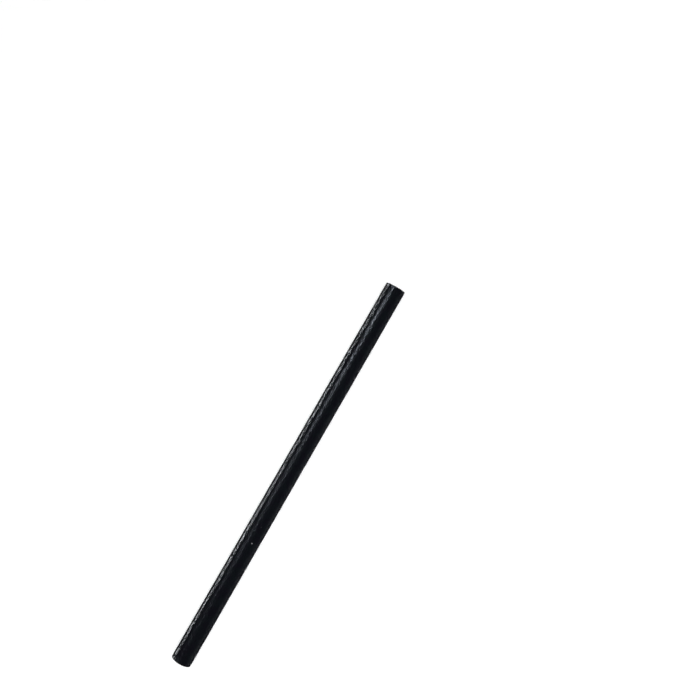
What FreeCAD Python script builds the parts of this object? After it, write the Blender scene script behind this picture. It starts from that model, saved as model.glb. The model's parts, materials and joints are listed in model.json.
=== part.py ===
import FreeCAD, Part
import math
import os
import Sketcher

# A plain straight drinking straw: black paper wound and glued into one tube, with both ends cut
# square. It lies on its side, on the small flat spot that soft paper takes under its own weight.
#
# Frame, in millimetres: +X runs along the straw and +Z is up. The origin is on the table, under
# the middle of the straw, in the middle of the flat spot.

# Each driving dimension: its name in the sheet, its value and what it measures.
DRIVING_DIMENSIONS = (
    ("bore_diameter", 6.0, "inside of the tube, where the drink goes up"),
    ("wall_thickness", 0.42, "the glued paper, from the bore to the outside"),
    ("straw_length", 140.0, "from one cut end to the other"),
    ("flat_spot_width", 1.4, "strip of the outside, along the underside, that lies on the table"),
    ("outer_edge_radius", 0.10, "soft outer edge that the cutting knife leaves"),
    ("inner_edge_radius", 0.06, "soft edge round each mouth of the bore"),
)

# Expressions for the sizes that several features share.
BORE_RADIUS = "Dimensions.bore_diameter / 2"
OUTER_RADIUS = "Dimensions.bore_diameter / 2 + Dimensions.wall_thickness"
AXIS_HEIGHT = f"sqrt(pow({OUTER_RADIUS}; 2) - pow(Dimensions.flat_spot_width / 2; 2))"

TOLERANCE = 1e-6
CENTRE = FreeCAD.Vector(0, 0, 0)
ACROSS = FreeCAD.Vector(0, 0, 1)

# How a sketch constraint names a point of a curve, and the sketch's own centre.
START, END, MIDDLE = range(1, 4)
SKETCH_ORIGIN = (-1, START)


def make_sheet(doc):
    """Writes the driving dimensions into the document's sheet, one row each."""
    sheet = doc.addObject("Spreadsheet::Sheet", "Dimensions")
    for row, (name, value, meaning) in enumerate(DRIVING_DIMENSIONS, start=1):
        sheet.set(f"A{row}", name)
        sheet.set(f"B{row}", str(value))
        sheet.set(f"C{row}", meaning)
        sheet.setAlias(f"B{row}", name)
    doc.recompute()
    return sheet


def bore_radius(sheet):
    """Radius of the tube's inside."""
    return sheet.bore_diameter / 2


def outer_radius(sheet):
    """Radius of the tube's outside."""
    return bore_radius(sheet) + sheet.wall_thickness


def axis_height(sheet):
    """Height of the tube's axis over its flat spot."""
    return math.sqrt(outer_radius(sheet) ** 2 - (sheet.flat_spot_width / 2) ** 2)


def origin_plane(body, role):
    """The plane with this role among the planes of a body's own origin."""
    for feature in body.Origin.OriginFeatures:
        if feature.Role == role:
            return feature
    raise ValueError(f"{body.Label} has no {role}")


def name_size(sketch, constraint, name, expression):
    """Adds a size to the sketch under this name and binds it to the sheet."""
    size = sketch.addConstraint(constraint)
    sketch.renameConstraint(size, name)
    sketch.setExpression(f"Constraints.{name}", expression)


def draw_bore(sketch, sheet):
    """The inside of the tube: a circle round the sketch's own centre."""
    circle = sketch.addGeometry(Part.Circle(CENTRE, ACROSS, bore_radius(sheet)))
    sketch.addConstraint(Sketcher.Constraint("Coincident", circle, MIDDLE, *SKETCH_ORIGIN))
    radius = Sketcher.Constraint("Radius", circle, bore_radius(sheet))
    name_size(sketch, radius, "bore_radius", BORE_RADIUS)


def draw_outside(sketch, sheet):
    """The outside of the tube: an arc round the same centre, closed below by the flat spot."""
    radius = outer_radius(sheet)
    half_flat = sheet.flat_spot_width / 2
    half_angle = math.asin(half_flat / radius)
    left = FreeCAD.Vector(-half_flat, -axis_height(sheet), 0)
    right = FreeCAD.Vector(half_flat, -axis_height(sheet), 0)
    circle = Part.Circle(CENTRE, ACROSS, radius)
    straight_down = -math.pi / 2
    first = straight_down + half_angle
    last = straight_down - half_angle + 2 * math.pi
    arc = sketch.addGeometry(Part.ArcOfCircle(circle, first, last))
    flat = sketch.addGeometry(Part.LineSegment(left, right))
    sketch.addConstraint(Sketcher.Constraint("Coincident", arc, MIDDLE, *SKETCH_ORIGIN))
    sketch.addConstraint(Sketcher.Constraint("Coincident", arc, START, flat, END))
    sketch.addConstraint(Sketcher.Constraint("Coincident", arc, END, flat, START))
    sketch.addConstraint(Sketcher.Constraint("Horizontal", flat))
    name_size(sketch, Sketcher.Constraint("Radius", arc, radius), "outer_radius", OUTER_RADIUS)
    width = Sketcher.Constraint("DistanceX", flat, START, flat, END, sheet.flat_spot_width)
    name_size(sketch, width, "flat_spot_width", "Dimensions.flat_spot_width")


def draw_cross_section(body, sheet):
    """The tube's cross-section: its bore and its outside, both round the X axis."""
    sketch = body.newObject("Sketcher::SketchObject", "CrossSection")
    sketch.AttachmentSupport = [(origin_plane(body, "YZ_Plane"), "")]
    sketch.MapMode = "FlatFace"
    draw_bore(sketch, sheet)
    draw_outside(sketch, sheet)
    return sketch


def is_bore_circle(edge, sheet):
    """Whether an edge is the round mouth of the bore."""
    is_circle = isinstance(edge.Curve, Part.Circle)
    return is_circle and abs(edge.Curve.Radius - bore_radius(sheet)) < TOLERANCE


def end_edges(shape, sheet):
    """Names of the edges in the two cut ends: those round the outside, and those of the bore."""
    outside = []
    mouths = []
    for number, edge in enumerate(shape.Edges, start=1):
        box = edge.BoundBox
        from_end = abs(abs(box.Center.x) - sheet.straw_length / 2)
        if box.XLength < TOLERANCE and from_end < TOLERANCE:
            group = mouths if is_bore_circle(edge, sheet) else outside
            group.append(f"Edge{number}")
    return outside, mouths


def soften_edges(doc, body, name, edges, softness):
    """Rounds these edges of the body's last feature by one dimension of the sheet."""
    base = body.Tip
    before = base.Shape.Volume
    fillet = body.newObject("PartDesign::Fillet", name)
    fillet.Base = (base, edges)
    fillet.setExpression("Radius", f"Dimensions.{softness}")
    doc.recompute()
    if not fillet.Shape.Volume < before:
        raise RuntimeError(f"{name} took nothing off")


def make_straw_tube(doc, sheet):
    """The whole straw: one paper tube, extruded both ways from its middle."""
    body = doc.addObject("PartDesign::Body", "StrawTube")
    body.Label = "straw_tube"
    tube = body.newObject("PartDesign::Pad", "Tube")
    tube.Profile = draw_cross_section(body, sheet)
    tube.SideType = "Symmetric"
    tube.setExpression("Length", "Dimensions.straw_length")
    doc.recompute()
    mouths = end_edges(body.Shape, sheet)[1]
    soften_edges(doc, body, "InnerEdges", mouths, "inner_edge_radius")
    outside = end_edges(body.Shape, sheet)[0]
    soften_edges(doc, body, "OuterEdges", outside, "outer_edge_radius")
    body.setExpression("Placement.Base.z", AXIS_HEIGHT)
    doc.recompute()
    return body


def check(doc, bodies, sheet):
    """Stops the build if a feature failed, or a piece isn't one valid solid or has no bore."""
    for item in doc.Objects:
        if "Invalid" in item.State or "Error" in item.State:
            raise RuntimeError(f"{item.Label} failed: {item.State}")
    full_rod = math.pi * outer_radius(sheet) ** 2 * sheet.straw_length
    for body in bodies:
        shape = body.Shape
        if shape.isNull() or not shape.isValid() or len(shape.Solids) != 1:
            raise RuntimeError(f"{body.Label} isn't one valid solid")
        if not shape.Volume < full_rod:
            raise RuntimeError(f"{body.Label} has no bore")


def main():
    doc = FreeCAD.newDocument("DrinkingStraw")
    sheet = make_sheet(doc)
    bodies = [make_straw_tube(doc, sheet)]
    check(doc, bodies, sheet)
    os.makedirs("parts", exist_ok=True)
    for body in bodies:
        body.Shape.exportStep(f"parts/{body.Label}.step")
        box = body.Shape.optimalBoundingBox(False, True)
        print(f"{body.Label}: {box.XLength:.3f} x {box.YLength:.3f} x {box.ZLength:.3f} mm,",
              f"lowest {box.ZMin:.4f}, volume {body.Shape.Volume:.2f} mm3")


main()
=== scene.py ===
"""The looks of a plain black paper drinking straw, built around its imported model.

The straw is one wound paper tube that lies on a white table. Its shell is made by a Geometry Nodes
tree: an outline of the wall, swept round the straw's axis, given the paper's fine grain, and
settled on its flat spot. Lengths are in metres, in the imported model's own frame.
"""

import json
import logging
import math
from collections.abc import Mapping
from dataclasses import dataclass
from enum import Enum

import bpy
from mathutils import Matrix, Vector


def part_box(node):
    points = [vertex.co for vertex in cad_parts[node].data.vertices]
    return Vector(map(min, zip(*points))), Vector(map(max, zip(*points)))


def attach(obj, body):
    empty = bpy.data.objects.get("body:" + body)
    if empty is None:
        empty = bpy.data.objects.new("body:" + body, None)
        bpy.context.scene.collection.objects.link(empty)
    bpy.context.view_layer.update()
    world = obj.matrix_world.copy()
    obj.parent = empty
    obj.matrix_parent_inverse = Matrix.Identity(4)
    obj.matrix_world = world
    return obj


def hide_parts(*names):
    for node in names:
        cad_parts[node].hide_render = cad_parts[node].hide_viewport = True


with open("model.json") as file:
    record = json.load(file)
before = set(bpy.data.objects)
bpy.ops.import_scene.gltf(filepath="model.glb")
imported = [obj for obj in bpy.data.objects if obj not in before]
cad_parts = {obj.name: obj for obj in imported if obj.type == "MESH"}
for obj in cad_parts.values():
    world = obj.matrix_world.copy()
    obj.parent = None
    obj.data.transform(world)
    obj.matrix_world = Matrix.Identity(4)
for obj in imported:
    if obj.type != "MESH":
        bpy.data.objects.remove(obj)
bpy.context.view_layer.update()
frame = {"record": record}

log = logging.getLogger("straw")

NODE = "straw_tube"
SLOT = "black_paper"
BODY = "root"
MILLIMETRE = 0.001
PICTURE_WIDTH = 700
SENSOR_WIDTH = 36.0

# The mask of the fibres that the cutting knife bared, as the mesh carries it for its finish.
CUT_MASK = "cut_end"

# A noise pattern lies about its middle, and seldom strays further from it than its swing.
NOISE_MIDDLE = 0.5
NOISE_SWING = 0.25

Colour = tuple[float, float, float]
Place = tuple[float, float, float]


class Signal:
    """A value that leaves a node's socket, on which sums are written as ordinary Python."""

    def __init__(self, graph: "Graph", socket: bpy.types.NodeSocket) -> None:
        """Keeps a socket.

        Args:
            graph: The graph that adds the nodes of a sum.
            socket: The output socket that the value comes from.
        """
        self.graph = graph
        self.socket = socket

    def __add__(self, other: "Signal | float") -> "Signal":
        """This value plus another."""
        return self.graph.sum_node("ADD", self, other)

    def __radd__(self, other: float) -> "Signal":
        """A number plus this value."""
        return self.graph.sum_node("ADD", other, self)

    def __sub__(self, other: "Signal | float") -> "Signal":
        """This value minus another."""
        return self.graph.sum_node("SUBTRACT", self, other)

    def __rsub__(self, other: float) -> "Signal":
        """A number minus this value."""
        return self.graph.sum_node("SUBTRACT", other, self)

    def __mul__(self, other: "Signal | float") -> "Signal":
        """This value times another."""
        return self.graph.sum_node("MULTIPLY", self, other)

    def __rmul__(self, other: float) -> "Signal":
        """A number times this value."""
        return self.graph.sum_node("MULTIPLY", other, self)

    def __truediv__(self, other: "Signal | float") -> "Signal":
        """This value divided by another."""
        return self.graph.sum_node("DIVIDE", self, other)

    def __rtruediv__(self, other: float) -> "Signal":
        """A number divided by this value."""
        return self.graph.sum_node("DIVIDE", other, self)


class Made:
    """A node that has been added, whose outputs are read by name."""

    def __init__(self, graph: "Graph", node: bpy.types.Node) -> None:
        """Keeps a node.

        Args:
            graph: The graph that the node is in.
            node: The node itself.
        """
        self.graph = graph
        self.node = node

    def __getitem__(self, name: str) -> Signal:
        """The output of this name, as a signal."""
        return Signal(self.graph, enabled_socket(self.node.outputs, name))


def enabled_socket(sockets: bpy.types.bpy_prop_collection, key: str | int) -> bpy.types.NodeSocket:
    """Finds a socket by its name, or by its number.

    Args:
        sockets: A node's inputs or outputs.
        key: The socket's name, or its number where several share one name.

    Returns:
        The socket, which is one that the node's settings leave in use.
    """
    if isinstance(key, int):
        return sockets[key]
    for socket in sockets:
        if socket.name == key and socket.enabled:
            return socket
    raise KeyError(f"no socket named {key}")


class Graph:
    """One node tree, and the ways to add to it."""

    def __init__(self, tree: bpy.types.NodeTree) -> None:
        """Takes a tree and empties it.

        Args:
            tree: The tree of a material, a world or a shape.
        """
        self.tree = tree
        tree.nodes.clear()

    def add(
        self,
        kind: str,
        settings: Mapping[str, object] | None = None,
        sockets: Mapping[str | int, object] | None = None,
    ) -> Made:
        """Adds a node.

        Args:
            kind: The node's type.
            settings: Its own settings, set first, by their names.
            sockets: Numbers, colours or signals for its inputs, by the inputs' names or numbers.

        Returns:
            The node, whose outputs are read by name.
        """
        node = self.tree.nodes.new(kind)
        for name, value in (settings or {}).items():
            setattr(node, name, value)
        for key, value in (sockets or {}).items():
            socket = enabled_socket(node.inputs, key)
            if isinstance(value, Signal):
                self.tree.links.new(value.socket, socket)
            else:
                socket.default_value = value
        return Made(self, node)

    def sum_node(
        self, operation: str, first: Signal | float, second: Signal | float = 0.0
    ) -> Signal:
        """Adds a Math node.

        Args:
            operation: What the node works out.
            first: Its first value.
            second: Its second value, where the operation takes two.

        Returns:
            The result.
        """
        return self.add("ShaderNodeMath", {"operation": operation}, {0: first, 1: second})["Value"]

    def parts(self, vector: Signal) -> Made:
        """Splits a vector into its X, Y and Z."""
        return self.add("ShaderNodeSeparateXYZ", None, {"Vector": vector})

    def distance(self, first: Signal, second: Signal | Place = (0.0, 0.0, 0.0)) -> Signal:
        """How far the first place lies from the second, which is the origin if it isn't given."""
        settings = {"operation": "DISTANCE"}
        return self.add("ShaderNodeVectorMath", settings, {0: first, 1: second})["Value"]

    def scaled(self, vector: Signal, factor: Signal) -> Signal:
        """A vector times a number."""
        sockets = {0: vector, "Scale": factor}
        return self.add("ShaderNodeVectorMath", {"operation": "SCALE"}, sockets)["Vector"]

    def ease(self, value: Signal, low: Signal | float, high: Signal | float) -> Signal:
        """Turns a value into a mask with soft ends.

        Args:
            value: What is measured.
            low: Where the mask is 0.
            high: Where the mask is 1.

        Returns:
            The mask, from 0 to 1.
        """
        sockets = {"Value": value, "From Min": low, "From Max": high}
        settings = {"interpolation_type": "SMOOTHSTEP"}
        return self.add("ShaderNodeMapRange", settings, sockets)["Result"]

    def mix_colours(self, factor: Signal, first: Signal | Colour, second: Signal | Colour) -> Signal:
        """Mixes two colours.

        Args:
            factor: How much of the second colour is taken.
            first: The colour at 0.
            second: The colour at 1.

        Returns:
            The mixed colour.
        """
        sockets = {"Factor": factor}
        for name, colour in (("A", first), ("B", second)):
            sockets[name] = colour if isinstance(colour, Signal) else (*colour, 1.0)
        return self.add("ShaderNodeMix", {"data_type": "RGBA"}, sockets)["Result"]


def blend(first: Signal, second: Signal, share: float) -> Signal:
    """Mixes two patterns.

    Args:
        first: One pattern.
        second: The other pattern.
        share: How much of the other is taken, from 0 to 1.

    Returns:
        The mixed pattern.
    """
    return first * (1.0 - share) + second * share


class InputKind(Enum):
    """What a shape's tree can take through a named input."""

    SIZE = "NodeSocketFloat"
    COUNT = "NodeSocketInt"
    FINISH = "NodeSocketMaterial"


@dataclass(frozen=True)
class ShapeInput:
    """A named input of a shape's tree, and the value it gets."""

    name: str
    kind: InputKind
    value: object


@dataclass(frozen=True)
class Speck:
    """A small pale fleck of lint on the paper.

    Attributes:
        along: Where it lies along the straw, from the middle.
        turn: How far round it lies, in degrees above the horizon on the camera's side.
        radius: Half its width.
        strength: How much it covers the paper, from 0 to 1.
        core: Share of its radius that it covers evenly.
        fray: How far the paper's fibres fray its edge.
    """

    along: float
    turn: float
    radius: float
    strength: float
    core: float = 0.55
    fray: float = 1.6


@dataclass(frozen=True)
class BlackPaper:
    """Solid-dyed black paper with a matt, slightly uneven surface.

    Attributes:
        colour: The paper's own colour.
        pale: Colour of its paler fibres.
        pale_from: Level of the fibre pattern at which the paler colour starts.
        pale_to: Level at which it has come in full.
        cut_colour: Colour of the fibres at a cut end.
        cut_from: Level of the fibre pattern at which a cut end's colour starts.
        cut_to: Level at which it has come in full.
        lint_colour: Colour of the flecks that lie on it.
        roughness: How rough the gloss is, on average.
        roughness_spread: How far the roughness varies either way.
        cut_roughness: How much rougher a cut end is.
        matt_roughness: How rough the paper is where it doesn't shine.
        gloss: Level of the mirror part of the shader.
        gloss_tint: Colour of that part.
        gloss_from: How edge-on the paper is seen where its gloss starts to fade.
        gloss_to: How edge-on it is seen where its gloss has gone.
        fibre_size: Size of the fibres that can be seen.
        fibre_height: How far the fibres stand up.
        cloud_ratio: How many times as large as the fibres the cloudy patches are.
        patch_size: Size of the patches that don't shine.
        patch_from: Level of their pattern at which a patch starts.
        patch_to: Level at which it has come in full.
        layer_strength: How strong each finer layer of a pattern is against the one before.
        mottle_clouds: Share of the clouds in the mottle of its colour.
        grain_clouds: Share of the clouds in the unevenness of its gloss.
        specks: The flecks of lint.
    """

    colour: Colour = (0.0041, 0.0039, 0.0063)
    pale: Colour = (0.004, 0.0053, 0.0067)
    pale_from: float = 0.4
    pale_to: float = 0.6
    cut_colour: Colour = (0.016, 0.0165, 0.018)
    cut_from: float = 0.2
    cut_to: float = 0.7
    lint_colour: Colour = (0.18, 0.172, 0.185)
    roughness: float = 0.2
    roughness_spread: float = 0.03
    cut_roughness: float = 0.15
    matt_roughness: float = 0.9
    gloss: float = 0.085
    gloss_tint: Colour = (0.8, 0.88, 1.0)
    gloss_from: float = 0.42
    gloss_to: float = 0.64
    fibre_size: float = 0.42 * MILLIMETRE
    fibre_height: float = 0.1 * MILLIMETRE
    cloud_ratio: float = 6.0
    patch_size: float = 0.4 * MILLIMETRE
    patch_from: float = 0.46
    patch_to: float = 0.54
    layer_strength: float = 0.55
    mottle_clouds: float = 0.6
    grain_clouds: float = 0.2
    specks: tuple[Speck, ...] = (
        Speck(along=-25.2 * MILLIMETRE, turn=60.5, radius=0.28 * MILLIMETRE, strength=1.0),
        Speck(along=-19.3 * MILLIMETRE, turn=60.5, radius=0.2 * MILLIMETRE, strength=0.15),
    )

    def material(self, tube: "PaperTube") -> bpy.types.Material:
        """Makes the material.

        Args:
            tube: The tube that wears it, which says where its surface is.

        Returns:
            The finished material.
        """
        made = bpy.data.materials.new(SLOT)
        made.use_nodes = True
        graph = Graph(made.node_tree)
        place = graph.add("ShaderNodeTexCoord")["Object"]
        cut = graph.add("ShaderNodeAttribute", {"attribute_name": CUT_MASK})["Fac"]
        fibres = self.noise(graph, place, self.fibre_size, detail=3.0)
        clouds = self.noise(graph, place, self.cloud_ratio * self.fibre_size, detail=2.0)
        patches = self.noise(graph, place, self.patch_size, detail=1.0)
        colour = self.dress(graph, place, tube, fibres, clouds, cut)
        grain = blend(fibres, clouds, self.grain_clouds) - NOISE_MIDDLE
        spread = grain * (self.roughness_spread / NOISE_SWING)
        bump = graph.add("ShaderNodeBump", None, {
            "Strength": 1.0, "Distance": self.fibre_height, "Height": fibres})["Normal"]
        glossy = graph.add("ShaderNodeBsdfPrincipled", None, {
            "Base Color": colour, "Roughness": spread + cut * self.cut_roughness + self.roughness,
            "Specular IOR Level": self.gloss, "Specular Tint": (*self.gloss_tint, 1.0),
            "Normal": bump})["BSDF"]
        matt = graph.add("ShaderNodeBsdfPrincipled", None, {
            "Base Color": colour, "Roughness": self.matt_roughness, "Specular IOR Level": 0.0,
            "Normal": bump})["BSDF"]
        edge_on = graph.add("ShaderNodeLayerWeight")["Facing"]
        fading = graph.ease(edge_on, self.gloss_from, self.gloss_to)
        dull = graph.ease(patches, self.patch_from, self.patch_to)
        shader = graph.add("ShaderNodeMixShader", None, {
            0: (1.0 - fading) * (1.0 - dull), 1: matt, 2: glossy})["Shader"]
        graph.add("ShaderNodeOutputMaterial", None, {"Surface": shader})
        return made

    def dress(
        self,
        graph: Graph,
        place: Signal,
        tube: "PaperTube",
        fibres: Signal,
        clouds: Signal,
        cut: Signal,
    ) -> Signal:
        """Works out the paper's colour.

        Args:
            graph: The material's graph.
            place: Where on the object the colour is read.
            tube: The tube that wears it.
            fibres: The pattern of its fibres.
            clouds: The pattern of its cloudy patches.
            cut: The mask of its cut ends.

        Returns:
            The colour, with the cut ends and the flecks of lint.
        """
        mottle = blend(fibres, clouds, self.mottle_clouds)
        mottle = graph.ease(mottle, self.pale_from, self.pale_to)
        colour = graph.mix_colours(mottle, self.colour, self.pale)
        bared = cut * graph.ease(fibres, self.cut_from, self.cut_to)
        colour = graph.mix_colours(bared, colour, self.cut_colour)
        for speck in self.specks:
            mask = self.speck_mask(graph, place, fibres, tube, speck)
            colour = graph.mix_colours(mask, colour, self.lint_colour)
        return colour

    def noise(self, graph: Graph, place: Signal, size: float, detail: float) -> Signal:
        """Adds a noise pattern.

        Args:
            graph: The material's graph.
            place: Where on the object the pattern is read.
            size: Size of its largest blots.
            detail: How many finer layers it has.

        Returns:
            The pattern, about 0.5 on average.
        """
        return graph.add("ShaderNodeTexNoise", None, {
            "Vector": place, "Scale": 1.0 / size, "Detail": detail,
            "Roughness": self.layer_strength})["Fac"]

    @staticmethod
    def speck_mask(
        graph: Graph, place: Signal, fibres: Signal, tube: "PaperTube", speck: Speck
    ) -> Signal:
        """Marks where a fleck of lint lies.

        Args:
            graph: The material's graph.
            place: Where on the object the mask is read.
            fibres: The fibre pattern, which frays the fleck's edge.
            tube: The tube that it lies on.
            speck: The fleck.

        Returns:
            The mask, as strong as the fleck.
        """
        away = graph.distance(place, tube.surface_point(speck.along, speck.turn))
        frayed = away / speck.radius + (fibres - NOISE_MIDDLE) * speck.fray
        return (1.0 - graph.ease(frayed, speck.core, 1.0)) * speck.strength


@dataclass(frozen=True)
class WhiteTable:
    """The white table and the even white behind it.

    Attributes:
        albedo: How much light it sends back.
        glow: How much it adds where it is looked at, which brings lit white up to full white.
        clear_from: How far from the middle the lamps' pool of light starts to fade.
        clear_to: How far from the middle it has become plain white.
    """

    albedo: float = 0.82
    glow: float = 0.25
    clear_from: float = 0.12
    clear_to: float = 0.45

    def material(self) -> bpy.types.Material:
        """Makes the table's material.

        Returns:
            The material, which keeps shadows near the middle and is plain white far out.
        """
        made = bpy.data.materials.new("white_table")
        made.use_nodes = True
        graph = Graph(made.node_tree)
        place = graph.add("ShaderNodeTexCoord")["Object"]
        far = graph.ease(graph.distance(place), self.clear_from, self.clear_to)
        seen = seen_directly(graph)
        lit = graph.add("ShaderNodeBsdfDiffuse", None, {"Color": (self.albedo,) * 3 + (1.0,)})
        glow = graph.add("ShaderNodeEmission", None, {"Strength": seen * self.glow})
        near = graph.add("ShaderNodeAddShader", None, {0: lit["BSDF"], 1: glow["Emission"]})
        white = graph.add("ShaderNodeEmission", None, {"Strength": 1.0})
        shader = graph.add("ShaderNodeMixShader", None, {
            0: far * seen, 1: near["Shader"], 2: white["Emission"]})["Shader"]
        graph.add("ShaderNodeOutputMaterial", None, {"Surface": shader})
        return made


def seen_directly(graph: Graph) -> Signal:
    """Tells the rays that look at a surface from those that only carry its light.

    Args:
        graph: The graph of a material or a world.

    Returns:
        1 for a camera, mirror or see-through ray, and 0 for the rest.
    """
    ray = graph.add("ShaderNodeLightPath")
    total = ray["Is Camera Ray"] + ray["Is Glossy Ray"] + ray["Is Transmission Ray"]
    return graph.sum_node("MINIMUM", total, 1.0)


@dataclass
class PaperTube:
    """The straw itself: one wound paper tube on its side.

    Attributes:
        length: From one cut end to the other.
        outer_radius: Radius of its outside.
        bore_radius: Radius of its bore.
        outer_edge_radius: Softness of the outer edge at each end.
        inner_edge_radius: Softness of the edge round each mouth of the bore.
        axis_height: Height of its axis over the table.
        outer_step: Longest side of a face on the outside, along the straw.
        inner_step: Longest side of a face in the bore, along the straw.
        around: How many faces go round it.
        edge_steps: How many faces round each soft edge.
        cut_reach: Share of the soft outer edge over which a cut end's mask fades.
        grain_size: Size of the paper's coarse grain.
        grain_depth: Depth of the grain, which goes inwards only.
        grain_layer_strength: How strong its finer layer is against the coarse one.
        seed: Which piece of the noise the grain is taken from.
    """

    length: float
    outer_radius: float
    bore_radius: float
    outer_edge_radius: float
    inner_edge_radius: float
    axis_height: float
    outer_step: float = 0.2 * MILLIMETRE
    inner_step: float = 1.0 * MILLIMETRE
    around: int = 108
    edge_steps: int = 4
    cut_reach: float = 0.6
    grain_size: float = 0.5 * MILLIMETRE
    grain_depth: float = 0.006 * MILLIMETRE
    grain_layer_strength: float = 0.5
    seed: int = 4

    @classmethod
    def from_frame(cls) -> "PaperTube":
        """Reads the tube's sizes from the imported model.

        Returns:
            A tube that fills the model's own box.
        """
        low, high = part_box(NODE)
        mounts = {mount["name"]: mount for mount in frame["record"]["mounts"]}
        bore, outside = mounts["bore"], mounts["outside"]
        length = high[0] - low[0]
        return cls(
            length=length,
            outer_radius=(high[1] - low[1]) / 2,
            bore_radius=bore["dims"]["r_mm"] * MILLIMETRE,
            outer_edge_radius=(length - outside["dims"]["length_mm"] * MILLIMETRE) / 2,
            inner_edge_radius=(length - bore["dims"]["length_mm"] * MILLIMETRE) / 2,
            axis_height=outside["pos_m"][2],
        )

    def surface_point(self, along: float, turn: float) -> Place:
        """A point of the outside.

        Args:
            along: Where it lies along the straw, from the middle.
            turn: How far round it lies, in degrees above the horizon on the camera's side.

        Returns:
            The point's place.
        """
        angle = math.radians(turn)
        across = -self.outer_radius * math.cos(angle)
        return along, across, self.axis_height + self.outer_radius * math.sin(angle)

    def build(self, finish: BlackPaper) -> bpy.types.Object:
        """Makes the straw as a plain mesh, hangs it under the root body and hides the imported tube.

        Args:
            finish: The paper that it is wound from.

        Returns:
            The finished piece.
        """
        inputs = self.shape_inputs(finish.material(self))
        tree = self.shape_tree(inputs)
        holder = bpy.data.objects.new("straw_shell_maker", bpy.data.meshes.new("straw_shell_maker"))
        bpy.context.scene.collection.objects.link(holder)
        modifier = holder.modifiers.new("shape", "NODES")
        modifier.node_group = tree
        sockets = {item.name: item.identifier for item in tree.interface.items_tree}
        for given in inputs:
            modifier[sockets[given.name]] = given.value
        holder.update_tag()
        graph = bpy.context.evaluated_depsgraph_get()
        mesh = bpy.data.meshes.new_from_object(holder.evaluated_get(graph), depsgraph=graph)
        mesh.name = "straw_shell"
        bpy.data.objects.remove(holder)
        bpy.data.node_groups.remove(tree)
        piece = bpy.data.objects.new("straw_shell", mesh)
        bpy.context.scene.collection.objects.link(piece)
        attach(piece, BODY)
        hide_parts(NODE)
        return piece

    def shape_inputs(self, paper: bpy.types.Material) -> list[ShapeInput]:
        """Lists what the tube's tree takes.

        Args:
            paper: The material of its finish.

        Returns:
            Its sizes and counts, by the names of the tree's inputs, and its finish.
        """
        sizes = {
            "Length": self.length,
            "Outer Radius": self.outer_radius,
            "Bore Radius": self.bore_radius,
            "Outer Edge Radius": self.outer_edge_radius,
            "Inner Edge Radius": self.inner_edge_radius,
            "Axis Height": self.axis_height,
            "Outer Step": self.outer_step,
            "Inner Step": self.inner_step,
            "Cut Reach": self.cut_reach,
            "Grain Size": self.grain_size,
            "Grain Depth": self.grain_depth,
        }
        counts = {"Around": self.around, "Edge Steps": self.edge_steps, "Seed": self.seed}
        return [
            *(ShapeInput(name, InputKind.SIZE, value) for name, value in sizes.items()),
            *(ShapeInput(name, InputKind.COUNT, value) for name, value in counts.items()),
            ShapeInput("Paper", InputKind.FINISH, paper),
        ]

    def shape_tree(self, inputs: list[ShapeInput]) -> bpy.types.NodeTree:
        """Builds the tree that makes the tube.

        Args:
            inputs: The named inputs that the tree has.

        Returns:
            The tree, which ends in a mesh with its material.
        """
        tree = bpy.data.node_groups.new("paper_tube", "GeometryNodeTree")
        graph = Graph(tree)
        for given in inputs:
            tree.interface.new_socket(given.name, in_out="INPUT", socket_type=given.kind.value)
        tree.interface.new_socket("Geometry", in_out="OUTPUT", socket_type="NodeSocketGeometry")
        given = graph.add("NodeGroupInput")
        shape = self.sweep(graph, given, self.wall_outline(graph, given))
        shape = self.mark(graph, given, shape)
        shape = self.grain(graph, given, shape)
        shape = self.settle(graph, given, shape)
        shape = graph.add("GeometryNodeSetShadeSmooth", None, {"Geometry": shape})["Geometry"]
        shape = graph.add("GeometryNodeRealizeInstances", None, {"Geometry": shape})["Geometry"]
        shape = graph.add("GeometryNodeSetMaterial", None, {
            "Geometry": shape, "Material": given["Paper"]})["Geometry"]
        graph.add("NodeGroupOutput", None, {"Geometry": shape})
        return tree

    @staticmethod
    def wall_outline(graph: Graph, given: Made) -> Signal:
        """Draws the outline of the wall: across it along X, and along the straw along Y.

        Args:
            graph: The tube's graph.
            given: The tree's inputs.

        Returns:
            The closed outline, with soft corners and no run longer than its step.
        """
        outline = graph.add("GeometryNodeCurvePrimitiveQuadrilateral", {"mode": "RECTANGLE"}, {
            "Width": given["Outer Radius"] - given["Bore Radius"],
            "Height": given["Length"]})["Curve"]
        place = graph.add("GeometryNodeInputPosition")["Position"]
        outside = graph.sum_node("GREATER_THAN", graph.parts(place)["X"], 0.0)

        def by_side(outer: str, inner: str) -> Signal:
            """One input on the outside and another in the bore."""
            return outside * given[outer] + (1.0 - outside) * given[inner]

        outline = graph.add("GeometryNodeFilletCurve", {"mode": "POLY"}, {
            "Curve": outline, "Count": given["Edge Steps"],
            "Radius": by_side("Outer Edge Radius", "Inner Edge Radius")})["Curve"]
        following = graph.add("GeometryNodeOffsetPointInCurve", None, {"Offset": 1})["Point Index"]
        next_place = graph.add("GeometryNodeFieldAtIndex", {"data_type": "FLOAT_VECTOR"}, {
            "Index": following, "Value": place})["Value"]
        run = graph.distance(place, next_place)
        cuts = graph.sum_node("FLOOR", run / by_side("Outer Step", "Inner Step"))
        return graph.add("GeometryNodeSubdivideCurve", None, {
            "Curve": outline, "Cuts": cuts})["Curve"]

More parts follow.
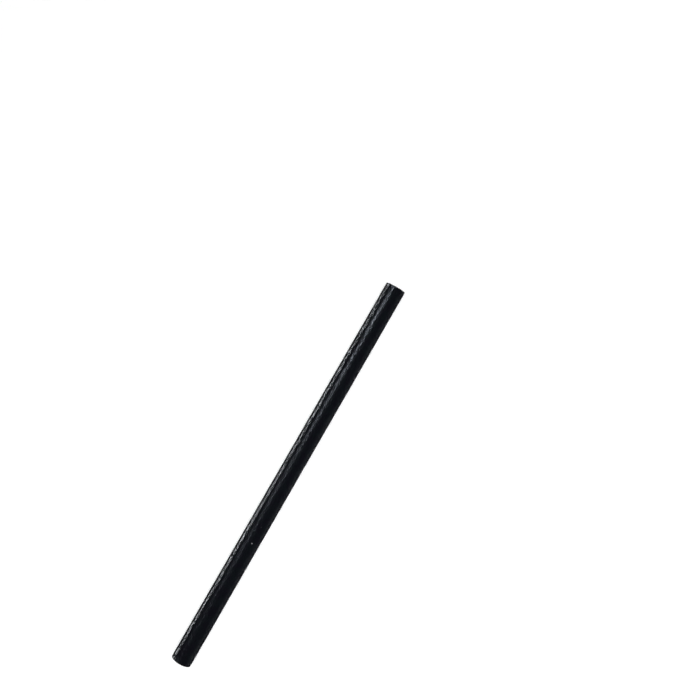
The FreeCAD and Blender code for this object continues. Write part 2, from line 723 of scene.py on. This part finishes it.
    @staticmethod
    def sweep(graph: Graph, given: Made, outline: Signal) -> Signal:
        """Sweeps the outline of the wall round the straw's axis.

        Args:
            graph: The tube's graph.
            given: The tree's inputs.
            outline: The outline of the wall.

        Returns:
            The tube along X, round the origin.
        """
        middle = (given["Outer Radius"] + given["Bore Radius"]) * 0.5
        ring = graph.add("GeometryNodeCurvePrimitiveCircle", {"mode": "RADIUS"}, {
            "Resolution": given["Around"], "Radius": middle})["Curve"]
        tube = graph.add("GeometryNodeCurveToMesh", None, {
            "Curve": ring, "Profile Curve": outline})["Mesh"]
        return graph.add("GeometryNodeTransform", None, {
            "Geometry": tube, "Rotation": (0.0, math.pi / 2, 0.0)})["Geometry"]

    @staticmethod
    def mark(graph: Graph, given: Made, shape: Signal) -> Signal:
        """Stores the mask of the cut ends, which the finish reads.

        Args:
            graph: The tube's graph.
            given: The tree's inputs.
            shape: The tube round the origin.

        Returns:
            The tube with its mask.
        """
        place = graph.add("GeometryNodeInputPosition")["Position"]
        from_middle = graph.sum_node("ABSOLUTE", graph.parts(place)["X"])
        from_end = given["Length"] * 0.5 - from_middle
        reach = given["Outer Edge Radius"] * given["Cut Reach"]
        cut = 1.0 - graph.ease(from_end, 0.0, reach)
        return graph.add("GeometryNodeStoreNamedAttribute",
                         {"data_type": "FLOAT", "domain": "POINT"},
                         {"Geometry": shape, "Name": CUT_MASK, "Value": cut})["Geometry"]

    def grain(self, graph: Graph, given: Made, shape: Signal) -> Signal:
        """Presses the paper's coarse grain into the outside.

        Args:
            graph: The tube's graph.
            given: The tree's inputs.
            shape: The tube round the origin.

        Returns:
            The tube with its grain, which nowhere stands out of its outer radius.
        """
        place = graph.add("GeometryNodeInputPosition")["Position"]
        parts = graph.parts(place)
        outwards = graph.add("ShaderNodeCombineXYZ", None, {
            "Y": parts["Y"], "Z": parts["Z"]})["Vector"]
        away = graph.distance(outwards)
        noise = graph.add("ShaderNodeTexNoise", {"noise_dimensions": "4D"}, {
            "Vector": graph.scaled(place, 1.0 / given["Grain Size"]), "W": given["Seed"],
            "Scale": 1.0, "Detail": 1.0, "Roughness": self.grain_layer_strength})["Fac"]
        pressed = graph.add("ShaderNodeMapRange", None, {
            "Value": noise, "From Min": NOISE_MIDDLE - NOISE_SWING,
            "From Max": NOISE_MIDDLE + NOISE_SWING})["Result"]
        edge = given["Outer Radius"] - given["Outer Edge Radius"]
        outside = graph.ease(away, edge, given["Outer Radius"])
        depth = pressed * outside * given["Grain Depth"]
        inwards = graph.scaled(outwards, (0.0 - depth) / away)
        return graph.add("GeometryNodeSetPosition", None, {
            "Geometry": shape, "Offset": inwards})["Geometry"]

    @staticmethod
    def settle(graph: Graph, given: Made, shape: Signal) -> Signal:
        """Lays the tube on the table, where its underside has a flat spot.

        Args:
            graph: The tube's graph.
            given: The tree's inputs.
            shape: The tube round the origin.

        Returns:
            The tube on the table.
        """
        place = graph.add("GeometryNodeInputPosition")["Position"]
        parts = graph.parts(place)
        height = graph.sum_node("MAXIMUM", parts["Z"] + given["Axis Height"], 0.0)
        resting = graph.add("ShaderNodeCombineXYZ", None, {
            "X": parts["X"], "Y": parts["Y"], "Z": height})["Vector"]
        return graph.add("GeometryNodeSetPosition", None, {
            "Geometry": shape, "Position": resting})["Geometry"]


@dataclass
class Viewpoint:
    """The camera, which looks down on the straw as the picture does.

    Attributes:
        focal_pixels: The lens's length, in widths of one picture element.
        elevation: How steeply the camera looks down, in degrees.
        lean: How far the camera stands off towards the straw's lower end, in degrees.
        slope: How steeply the straw rises in the picture, in degrees.
        along: Where along the straw the picture's middle lies, from the straw's middle.
        beside: How far the picture's middle lies beside the straw's axis, to the left of it.
        distance: From the camera to the place at the picture's middle.
        nearest: The nearest that anything is seen.
        farthest: The farthest that anything is seen.
    """

    focal_pixels: float = 900.0
    elevation: float = 75.0
    lean: float = 2.0
    slope: float = 60.07
    along: float = 44.70 * MILLIMETRE
    beside: float = 2.856 * MILLIMETRE
    distance: float = 295.53 * MILLIMETRE
    nearest: float = 0.01
    farthest: float = 20.0

    def build(self, tube: PaperTube) -> bpy.types.Object:
        """Makes the camera and gives it to the scene.

        Args:
            tube: The straw that it looks at.

        Returns:
            The camera.
        """
        steep, lean, slope = (
            math.radians(angle) for angle in (self.elevation, self.lean, self.slope))
        above = Vector((0.0, math.sin(steep), math.cos(steep)))
        backwards = Vector((-math.sin(lean), -math.cos(steep) * math.cos(lean),
                            math.sin(steep) * math.cos(lean)))
        along = above.cross(backwards)
        right = math.cos(slope) * along - math.sin(slope) * above
        up = math.sin(slope) * along + math.cos(slope) * above
        aim = Vector((self.along, 0.0, tube.axis_height)) + self.beside * above
        lens = bpy.data.cameras.new("viewpoint")
        lens.sensor_width = SENSOR_WIDTH
        lens.lens = SENSOR_WIDTH * self.focal_pixels / PICTURE_WIDTH
        lens.clip_start = self.nearest
        lens.clip_end = self.farthest
        camera = bpy.data.objects.new("viewpoint", lens)
        turn = Matrix((right, up, backwards)).transposed()
        camera.matrix_world = Matrix.Translation(aim + self.distance * backwards) @ turn.to_4x4()
        bpy.context.scene.collection.objects.link(camera)
        bpy.context.scene.camera = camera
        return camera


class Reach(Enum):
    """Which surfaces a lamp acts on."""

    MATT = "matt"
    GLOSS = "gloss"


@dataclass(frozen=True)
class SoftBox:
    """A flat soft lamp that faces the straw.

    Attributes:
        name: The lamp's name.
        place: Where its middle is.
        width: Its size along the straw.
        depth: Its size the other way.
        radiance: How bright its face is, where 1 is a fully lit white.
        reach: Whether it lights matt surfaces, or is the mirror image that gloss shows.
    """

    name: str
    place: Place
    width: float
    depth: float
    radiance: float
    reach: Reach

    def build(self) -> bpy.types.Object:
        """Makes the lamp.

        Returns:
            The lamp, which the camera doesn't see.
        """
        light = bpy.data.lights.new(self.name, "AREA")
        light.shape = "RECTANGLE"
        light.size = self.width
        light.size_y = self.depth
        light.energy = math.pi * self.radiance * self.width * self.depth
        lamp = bpy.data.objects.new(self.name, light)
        away = Vector(self.place)
        side = Vector((1.0, 0.0, 0.0))
        back = (away - away.dot(side) * side).normalized()
        turn = Matrix((side, back.cross(side), back)).transposed()
        lamp.matrix_world = Matrix.Translation(away) @ turn.to_4x4()
        lamp.visible_camera = False
        lamp.visible_glossy = self.reach is Reach.GLOSS
        lamp.visible_diffuse = self.reach is Reach.MATT
        bpy.context.scene.collection.objects.link(lamp)
        return lamp


@dataclass
class Studio:
    """The white table, the lamps and the even light round them.

    Attributes:
        table: The table's finish.
        table_radius: How far the table reaches.
        table_sides: How many sides its round rim has.
        table_gap: How far the table lies under the straw, so that the two faces don't coincide.
        ambient: Brightness of the light that comes from all round.
        ceiling: Brightness of the dark studio over the wall, as gloss shows it.
        wall_height: How high the white wall stands over the horizon, as a sine.
        lamps: The lamps.
    """

    table: WhiteTable
    table_radius: float = 4.0
    table_sides: int = 96
    table_gap: float = 0.01 * MILLIMETRE
    ambient: float = 0.24
    ceiling: float = 0.024
    wall_height: float = 0.04
    lamps: tuple[SoftBox, ...] = (
        SoftBox("front", (0.0, -0.31, 1.16), width=0.3, depth=0.3, radiance=43.0,
                reach=Reach.MATT),
        SoftBox("overhead", (0.38, 0.3, 0.93), width=0.5, depth=0.18, radiance=141.0,
                reach=Reach.GLOSS),
        SoftBox("overhead_dim", (-0.03, 0.3, 0.93), width=0.35, depth=0.18, radiance=31.0,
                reach=Reach.GLOSS),
        SoftBox("side_strip", (-0.13, 0.9, 0.032), width=0.7, depth=0.05, radiance=235.0,
                reach=Reach.GLOSS),
    )

    def build(self) -> None:
        """Makes the table, the lamps and the world."""
        self.build_table()
        for lamp in self.lamps:
            lamp.build()
        self.build_world()

    def build_table(self) -> bpy.types.Object:
        """Makes the table's round white top.

        Returns:
            The table, which isn't part of the straw.
        """
        corners = range(self.table_sides)
        angles = [2 * math.pi * corner / self.table_sides for corner in corners]
        rim = [(self.table_radius * math.cos(angle), self.table_radius * math.sin(angle),
                -self.table_gap) for angle in angles]
        mesh = bpy.data.meshes.new("table")
        mesh.from_pydata(rim, [], [list(corners)])
        mesh.materials.append(self.table.material())
        table = bpy.data.objects.new("table", mesh)
        bpy.context.scene.collection.objects.link(table)
        return table

    def build_world(self) -> bpy.types.World:
        """Makes the even light, with a white wall low down all round.

        Returns:
            The world.
        """
        world = bpy.data.worlds.new("studio")
        world.use_nodes = True
        graph = Graph(world.node_tree)
        towards = graph.add("ShaderNodeTexCoord")["Generated"]
        wall = 1.0 - graph.ease(graph.parts(towards)["Z"], 0.0, self.wall_height)
        ray = graph.add("ShaderNodeLightPath")
        mirrored = graph.sum_node("MAXIMUM", ray["Is Glossy Ray"], ray["Is Transmission Ray"])
        studio = wall * (1.0 - self.ceiling) + self.ceiling
        lit = mirrored * studio + (1.0 - mirrored) * self.ambient
        strength = graph.sum_node("MAXIMUM", lit, ray["Is Camera Ray"])
        light = graph.add("ShaderNodeBackground", None, {
            "Color": (1.0, 1.0, 1.0, 1.0), "Strength": strength})["Background"]
        graph.add("ShaderNodeOutputWorld", None, {"Surface": light})
        bpy.context.scene.world = world
        return world


def main() -> None:
    """Builds the straw, its studio and the camera, and reports each piece."""
    logging.basicConfig(level=logging.INFO, format="%(name)s: %(message)s")
    tube = PaperTube.from_frame()
    piece = tube.build(BlackPaper())
    log.info("%s: %d faces, %.1f mm long", piece.name, len(piece.data.polygons),
             piece.dimensions.x / MILLIMETRE)
    Studio(WhiteTable()).build()
    camera = Viewpoint().build(tube)
    log.info("%s: lens %.2f mm", camera.name, camera.data.lens)
    bpy.context.scene.view_settings.view_transform = "Standard"


if __name__ == "__main__":
    main()
